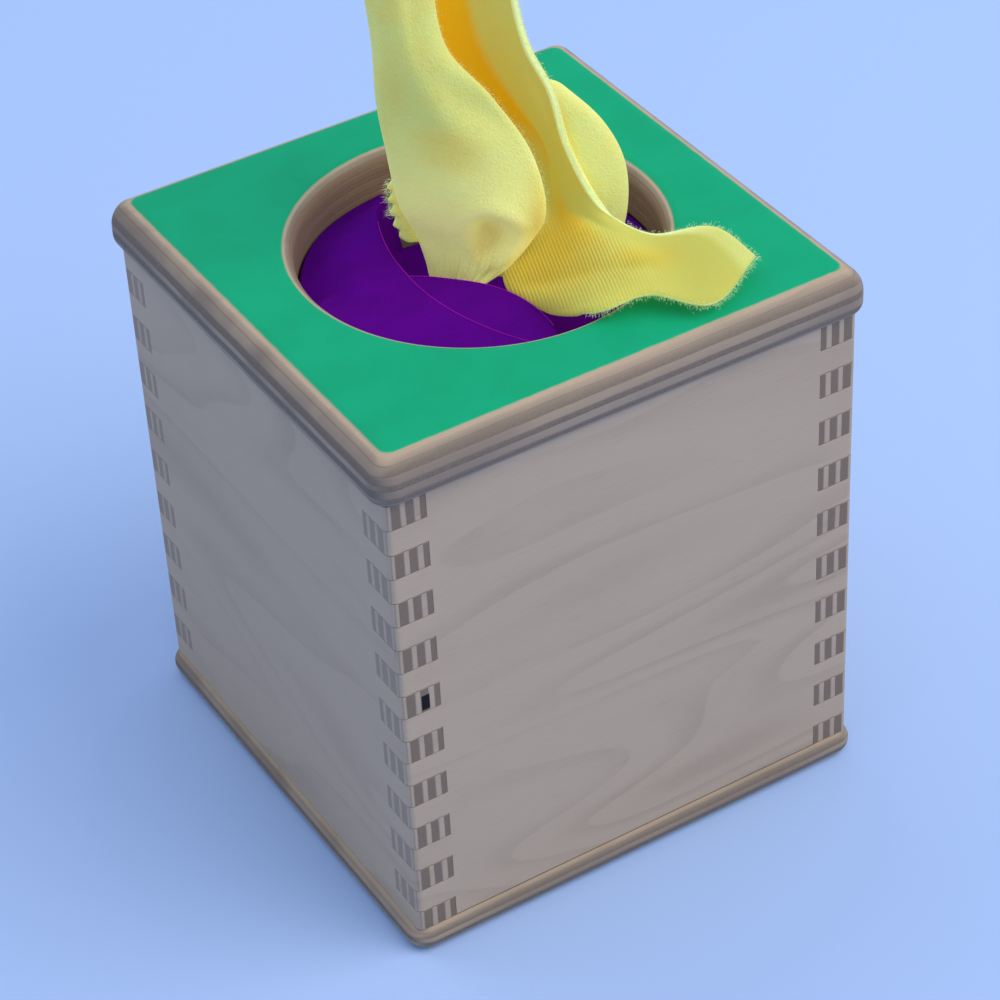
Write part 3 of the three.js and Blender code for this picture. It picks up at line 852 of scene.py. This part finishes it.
class TISSUE_OT_yellow(bpy.types.Operator):
    """Make the yellow tissue that stands out of the hole"""

    bl_idname = "tissue_box.yellow"
    bl_label = "Yellow tissue"

    def execute(self, context):
        sizes = context.scene.tissue_cloth_sizes
        colours = context.scene.tissue_cloth_colours
        lip = context.scene.tissue_box_sizes.lip_round
        surface = self.raised(surface_through(YELLOW_GUIDES, rows=84, columns=118))
        main = self.drawn_in(surface, sizes, lip)
        lobe = self.drawn_in(surface_through(YELLOW_LOBE_GUIDES, rows=36, columns=30), sizes, lip)
        edge = self.drawn_in(surface_through(YELLOW_EDGE_GUIDES, rows=60, columns=6), sizes, lip)
        points = []
        faces = []
        for grid in (main, lobe, edge):
            faces += grid_faces(len(grid), len(grid[0]), len(points))
            points += sum(grid, [])
        piece = new_piece("yellow_tissue_cloth", points, faces)
        self.map_cloth(piece, main)
        dress(piece, yellow_pile(), ribbed_back(), cut_border())
        body = piece.vertex_groups.new(name="body")
        body.add(self.inner_points((main, lobe, edge)), 1, "REPLACE")
        modify(piece, "SOLIDIFY", thickness=sizes.yellow_thickness, offset=0, use_quality_normals=True,
               vertex_group=body.name, thickness_vertex_group=0.35, material_offset=1, material_offset_rim=2)
        modify(piece, "SUBSURF", levels=1, render_levels=1)
        lift = self.lay_on_lid(context, piece)
        bpy.ops.object.shade_smooth()
        settle(piece, "yellow_tissue", "yellow_tissue")
        fringe = self.fringe(main, edge, lift, sizes)
        fibre = plush("yellow_fibre", colours.yellow_border, colours.yellow, 0.5, 0.3, **THIN_CLOTH)
        fibre.glow(EDGE_GLOW)
        dress(fringe, fibre.material)
        settle(fringe, "yellow_tissue")
        return {"FINISHED"}

    def inner_points(self, grids):
        """Numbers of the points away from the cut edges, where the cloth is thin."""
        inner = []
        first = 0
        for grid in grids:
            rows = len(grid)
            columns = len(grid[0])
            for row in range(1, rows - 1):
                inner += [first + row * columns + column for column in range(1, columns - 1)]
            first += rows * columns
        return inner

    def raised(self, grid):
        """The folded surface with the hollows, gathers and soft waves of the real cloth."""
        rows = len(grid) - 1
        columns = len(grid[0]) - 1
        shaped = []
        for row, line in enumerate(grid):
            shaped.append([])
            for column, point in enumerate(line):
                across = line[min(column + 1, columns)] - line[max(column - 1, 0)]
                down = grid[min(row + 1, rows)][column] - grid[max(row - 1, 0)][column]
                out = across.cross(down).normalized() * self.relief(row / rows, column / columns)
                loose = (1 - smooth_step(row / rows / 0.07)) * math.sin(column / columns * 12 + 1)
                shaped[-1].append(point + out + Vector((0, 0, LOOSE_RISE * loose)))
        return shaped

    def relief(self, down, across):
        """Millimetres that the pile side stands out, at shares down and across the cloth."""
        lower = (down - 0.72) / 0.1
        left = (across - 0.09) / 0.04
        reach = math.hypot(lower, left)
        closed = 1 - smooth_step((lower + left) / 1.8)
        dent = DENT_DEPTH * smooth_step((1.4 - reach) / 0.8) * closed
        brow = BROW_RISE * math.exp(-((reach - 1.45) / 0.28) ** 2) * closed
        near = 1 - smooth_step((across - 0.2) / 0.06)
        gathers = GATHER_RISE * math.sin(across * 2 * math.pi / GATHER_SPACING)
        gathers *= smooth_step((down - 0.8) / 0.08) * near
        waves = WAVE_RISE * noise.noise(Vector((across * 14, down * 6, 0))) * near
        curl = CURL_RISE * (1 - smooth_step(down / 0.06))
        laid = smooth_step((across - 0.5) / 0.06) * (1 - smooth_step((across - 0.7) / 0.12))
        crease = math.exp(-((down - 0.86) / 0.03) ** 2) - 0.7 * math.exp(-((down - 0.93) / 0.03) ** 2)
        return brow - dent + gathers + waves + curl + CREASE_RISE * crease * laid

    def drawn_in(self, grid, sizes, lip):
        """The grid in metres. Below the lid its points are drawn in to pass the hole and its round lip."""
        margin = sizes.yellow_thickness / 2
        drawn = []
        for line in grid:
            drawn.append([])
            for point in line:
                place = point * MM
                reach = math.hypot(place.x, place.y)
                flare = min(max(1 + (place.z - margin) / lip, 0), 1)
                most = sizes.clear_radius - margin + lip * (1 - math.sqrt(1 - flare ** 2))
                if place.z < margin and reach > most:
                    place.x *= most / reach
                    place.y *= most / reach
                place.z += LID_TOP
                drawn[-1].append(place)
        return drawn

    def map_cloth(self, piece, main):
        """Shares across and down the flat cloth, as the cloth's own map."""
        columns = len(main[0])
        layer = piece.data.uv_layers.new(name=CLOTH_MAP)
        for loop in piece.data.loops:
            row, column = divmod(loop.vertex_index, columns)
            shares = (column / (columns - 1), row / (len(main) - 1))
            layer.data[loop.index].uv = shares if row < len(main) else (1, 0.4)

    def lay_on_lid(self, context, piece):
        """Lifts the cloth until its lowest place over the lid lies on it."""
        hole = context.scene.tissue_box_sizes.hole_radius
        places = [vertex.co for vertex in piece.data.vertices]
        low = min(place.z for place in places if math.hypot(place.x, place.y) > hole)
        lift = LID_TOP + context.scene.tissue_cloth_sizes.seat_gap - low
        for vertex in piece.data.vertices:
            vertex.co.z += lift
        return lift

    def fringe(self, main, edge, lift, sizes):
        """Loose fibres along the cut edges."""
        up = Vector((0, 0, lift))
        columns = list(zip(*main))
        strays = list(zip(*edge))
        first, last, end, stray, top = (
            [[point + up for point in line] for line in pair]
            for pair in (columns[:2], columns[:-3:-1], main[:-3:-1], strays[:-3:-1], main[:2]))
        start = next(count for count, point in enumerate(end[0]) if point.z > LID_TOP)
        roots = edge_roots(*first, (0.2, 0.45), 12, 1)
        roots += edge_roots(*last, (0.3, 0.7), 14, 2)
        roots += edge_roots(end[0][start:], end[1][start:], (0.4, 0.95), 20, 3)
        roots += edge_roots(*stray, (0.5, 1.3), 16, 4)
        roots += edge_roots(*top, (0.3, 0.8), 14, 5)
        seated = [(root, way) for root, way in roots if (root + way).z > LID_TOP + sizes.seat_gap / 2]
        return fibres("yellow_tissue_fringe", seated, sizes.fibre_radius)


# Rounds of the purple cloth's two hems seen from above, as centre and radius in millimetres
LEFT_HEM = (46.7, -2.7, 64)
FRONT_HEM = (-30.8, -24.5, 31)
HEM_STEP = 3
HEM_GAP = 0.5

# Heights of the purple cloth's lobes over the bottom of its hollow, and the hollow's depth
HOLLOW_DEPTH = 27
LEFT_RISE = 21.5
FRONT_RISE = 20
BACK_RISE = 16
MIDDLE_RISE = 11
WAVE_HEIGHT = 0.6

# Pleats of the purple cloth's skirt below the hole
PLEATS = 15
PLEAT_DEPTH = 5
SKIRT_DRAW = 4


class TISSUE_OT_purple(bpy.types.Operator):
    """Make the purple tissue that fills the hole"""

    bl_idname = "tissue_box.purple"
    bl_label = "Purple tissue"

    def execute(self, context):
        sizes = context.scene.tissue_cloth_sizes
        colours = context.scene.tissue_cloth_colours
        rings = 90
        skirt_rings = 28
        turns = 256
        points = []
        rim = sizes.purple_radius / MM
        hem = (PILE_TOP + sizes.seat_gap - LID_TOP) / MM
        for ring in range(rings + skirt_rings + 1):
            drop = max((ring - rings) / skirt_rings, 0)
            for turn in range(turns):
                angle = turn / turns * 2 * math.pi
                pleat = PLEAT_DEPTH * (1 - math.cos(PLEATS * angle + 0.6 * math.sin(2 * angle)))
                reach = rim * max(min(ring / rings, 1), 0.01) - (SKIRT_DRAW + pleat) * drop ** 1.5
                x = reach * math.cos(angle)
                y = reach * math.sin(angle)
                top = self.top(x, y)
                points.append(Vector((x, y, top + (hem - top) * drop)) * MM + Vector((0, 0, LID_TOP)))
        faces = [tuple(range(turns))]
        for ring in range(rings + skirt_rings):
            for turn in range(turns):
                inner = ring * turns + turn
                following = ring * turns + (turn + 1) % turns
                faces.append((inner, inner + turns, following + turns, following))
        piece = new_piece("purple_tissue_cloth", points, faces)
        modify(piece, "SOLIDIFY", thickness=sizes.purple_thickness, offset=-1)
        bpy.ops.object.shade_smooth()
        dress(piece, plush("purple_plush", colours.purple, colours.purple_fold_shade, 0.3, 0.06).material)
        settle(piece, "purple_tissue", "purple_tissue")
        hems = self.hems(sizes, colours)
        return {"FINISHED"}

    def top(self, x, y):
        """Height of the cloth over the hole, in millimetres from the top of the lid."""
        reach = math.hypot(x, y)
        bearing = math.degrees(math.atan2(y, x))
        sector = smooth_step((bearing + 30) / 12) * smooth_step((50 - bearing) / 12)
        slope = 5 * smooth_step((reach - 26) / 14) * smooth_step((y + 2) / 14)
        left = (LEFT_RISE - slope) * smooth_step((HEM_STEP + self.past(LEFT_HEM, x, y)) / HEM_STEP)
        front = FRONT_RISE * smooth_step((HEM_STEP - self.past(FRONT_HEM, x, y)) / HEM_STEP)
        back = BACK_RISE * smooth_step((reach - 29) / 7) * sector
        middle = MIDDLE_RISE * smooth_step((-10.5 - x) / 4)
        wave = WAVE_HEIGHT * noise.noise(Vector((x / 14, y / 14, 0)))
        return max(left, front, back, middle) - HOLLOW_DEPTH + wave

    def past(self, hem, x, y):
        """Millimetres outside the round of a hem."""
        return math.hypot(x - hem[0], y - hem[1]) - hem[2]

    def hems(self, sizes, colours):
        """The bright thread along the two hems in view, partly the hem's real thread and partly a painted
        highlight along the hem's edge.
        """
        left = self.arc(LEFT_HEM, -1, -0.56, 0.42)
        front = [spot for spot in self.arc(FRONT_HEM, 1, -0.2, 1.25) if self.past(LEFT_HEM, *spot) < -HEM_GAP]
        material = plush("hem_thread", colours.hem, colours.purple, 0.3, 0.05).material
        reach = sizes.purple_radius / MM - 1
        pieces = []
        for name, line in (("left", left), ("front", front)):
            points = [
                Vector((x, y, self.top(x, y) + 0.05)) * MM + Vector((0, 0, LID_TOP)) for x, y in line
                if math.hypot(x, y) < reach]
            pieces.append(self.thread(f"purple_tissue_{name}_hem", points, sizes.thread_radius))
        for piece in pieces:
            dress(piece, material)
            settle(piece, "purple_tissue")
        return pieces

    def arc(self, hem, way, start, stop):
        """Points along the round of a hem, from one turn to another."""
        x, y, radius = hem
        turns = [start + (stop - start) * step / 80 for step in range(81)]
        return [(x + way * radius * math.cos(turn), y + radius * math.sin(turn)) for turn in turns]

    def thread(self, name, points, radius):
        clear_selection()
        line = bpy.data.curves.new(name, "CURVE")
        line.dimensions = "3D"
        line.bevel_depth = radius
        line.bevel_resolution = 2
        line.use_fill_caps = True
        spline = line.splines.new("POLY")
        spline.points.add(len(points) - 1)
        for knot, point in zip(spline.points, points):
            knot.co = (*point, 1)
        piece = bpy.data.objects.new(name, line)
        bpy.context.collection.objects.link(piece)
        make_active(piece)
        bpy.ops.object.convert(target="MESH")
        bpy.ops.object.shade_smooth()
        return bpy.context.object


class TISSUE_OT_folded(bpy.types.Operator):
    """Make the folded tissues in the box"""

    bl_idname = "tissue_box.folded"
    bl_label = "Folded tissues"

    def execute(self, context):
        sizes = context.scene.tissue_cloth_sizes
        hues = ((196, 60, 60), (47, 109, 184), (224, 138, 48), (60, 154, 88), (216, 106, 154))
        for count, (node, hue) in enumerate(zip(FOLDED, hues)):
            low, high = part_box(node)
            piece = self.fold(node, count % 2, (low[2] + high[2]) / 2, sizes.folded_thickness)
            # Darker copy of the colour, for the painted shade in the folds
            deep = tuple(channel * 0.45 for channel in srgb(*hue))
            dress(piece, plush(f"{node}_plush", srgb(*hue), deep).material)
            settle(piece, node, node)
        return {"FINISHED"}

    def fold(self, node, turned, height, thickness):
        """A square cloth folded in thirds both ways."""
        first_pitch = 1.8
        second_pitch = 5.5
        side = TISSUE_FLAT[0] / MM
        first = self.thirds((side - math.pi * first_pitch) / 3, first_pitch)
        second = self.thirds((side - math.pi * second_pitch) / 3, second_pitch)
        points = []
        for across, rise, along, up in second:
            out = Vector((0, -up, along))
            for other_across, other_rise, _, _ in first:
                point = Vector((other_across, across, rise)) + out * other_rise
                if turned:
                    point = Vector((-point.y, point.x, point.z))
                points.append(point * MM + Vector((0, 0, height)))
        piece = new_piece(f"{node}_cloth", points, grid_faces(len(second), len(first)))
        modify(piece, "SOLIDIFY", thickness=thickness, offset=0, use_quality_normals=True)
        modify(piece, "SUBSURF", levels=1, render_levels=1)
        bpy.ops.object.shade_smooth()
        return piece

    def thirds(self, run, pitch):
        """Place across, height and direction at points along a strip folded as an S."""
        points = []
        for third in range(3):
            way = 1 - 2 * (third % 2)
            height = (third - 1) * pitch
            for step in range(9):
                points.append((way * (step / 8 - 0.5) * run, height, way, 0))
            for step in range(1, 6 if third < 2 else 1):
                turn = step / 6 * math.pi
                across = way * (run / 2 + pitch / 2 * math.sin(turn))
                rise = height + pitch / 2 * (1 - math.cos(turn))
                points.append((across, rise, way * math.cos(turn), math.sin(turn)))
        return points


SENSOR_WIDTH = 36
FLOOR_SIZE = 8
FLOOR_DROP = 0.0002
SKY_STRENGTH = 0.69

# Place, size and watts of each lamp, and what they point at
KEY_LAMP = ((0.7, -0.75, 1.25), 1.5, 15.8)
FILL_LAMP = ((-0.3, 0.9, 1.3), 1.2, 4)
LAMP_AIM = Vector((0, 0, 0.1))


class TISSUE_OT_stage(bpy.types.Operator):
    """Set up the floor, the lights and the camera"""

    bl_idname = "tissue_box.stage"
    bl_label = "Stage"

    def execute(self, context):
        settings = context.scene.tissue_box_stage
        context.scene.view_settings.view_transform = "Standard"
        self.make_floor(settings)
        self.make_lights(context)
        clear_selection()
        bpy.ops.object.camera_add(location=settings.camera_place, rotation=settings.camera_turn)
        camera = context.object
        camera.data.sensor_width = SENSOR_WIDTH
        camera.data.lens = settings.lens
        camera.data.clip_end = 20
        context.scene.camera = camera
        return {"FINISHED"}

    def make_floor(self, settings):
        clear_selection()
        bpy.ops.mesh.primitive_plane_add(size=FLOOR_SIZE, location=(0, 0, -FLOOR_DROP))
        floor = bpy.context.object
        floor.name = "floor"
        bpy.ops.object.transform_apply(location=True, rotation=True, scale=True)
        finish = Finish("floor_paper", specular_ior_level=0.1)
        grain = finish.grain(finish.place(), 1.5, 3)
        pale = tuple(channel * 0.96 for channel in settings.floor)
        finish.colour(finish.mix(grain * 0.4, settings.floor, pale))
        finish.roughness(0.8 + grain * 0.1)
        floor.data.materials.append(finish.material)

    def make_lights(self, context):
        settings = context.scene.tissue_box_stage
        world = bpy.data.worlds.new("soft_studio")
        world.use_nodes = True
        background = world.node_tree.nodes["Background"]
        background.inputs["Color"].default_value = (*settings.sky, 1)
        background.inputs["Strength"].default_value = SKY_STRENGTH
        context.scene.world = world
        self.soft_box(*KEY_LAMP, settings.lamp)
        self.soft_box(*FILL_LAMP, settings.lamp)

    def soft_box(self, place, size, power, colour):
        clear_selection()
        turn = (LAMP_AIM - Vector(place)).to_track_quat("-Z", "Y").to_euler()
        bpy.ops.object.light_add(type="AREA", location=place, rotation=turn)
        lamp = bpy.context.object
        lamp.data.shape = "DISK"
        lamp.data.size = size
        lamp.data.energy = power
        lamp.data.color = colour


PIECES = (
    TISSUE_OT_base, TISSUE_OT_walls, TISSUE_OT_lid, TISSUE_OT_folded, TISSUE_OT_purple, TISSUE_OT_yellow,
    TISSUE_OT_stage)


class TISSUE_PT_panel(bpy.types.Panel):
    """Sidebar panel with the pieces and their settings"""

    bl_idname = "TISSUE_PT_panel"
    bl_label = "Tissue Box"
    bl_space_type = "VIEW_3D"
    bl_region_type = "UI"
    bl_category = "Tissue Box"

    def draw(self, context):
        for operator in PIECES:
            self.layout.operator(operator.bl_idname)
        for name, group in SETTINGS.items():
            settings = getattr(context.scene, name)
            box = self.layout.box()
            for field in group.__annotations__:
                box.prop(settings, field)


CLASSES = (*SETTINGS.values(), *PIECES, TISSUE_PT_panel)


def register():
    for kind in CLASSES:
        bpy.utils.register_class(kind)
    for name, group in SETTINGS.items():
        setattr(bpy.types.Scene, name, bpy.props.PointerProperty(type=group))


def unregister():
    for name in SETTINGS:
        delattr(bpy.types.Scene, name)
    for kind in reversed(CLASSES):
        bpy.utils.unregister_class(kind)


def main():
    register()
    bpy.ops.tissue_box.base()
    bpy.ops.tissue_box.walls()
    bpy.ops.tissue_box.lid()
    bpy.ops.tissue_box.folded()
    bpy.ops.tissue_box.purple()
    bpy.ops.tissue_box.yellow()
    bpy.ops.tissue_box.stage()
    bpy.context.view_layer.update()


if __name__ == "__main__":
    main()
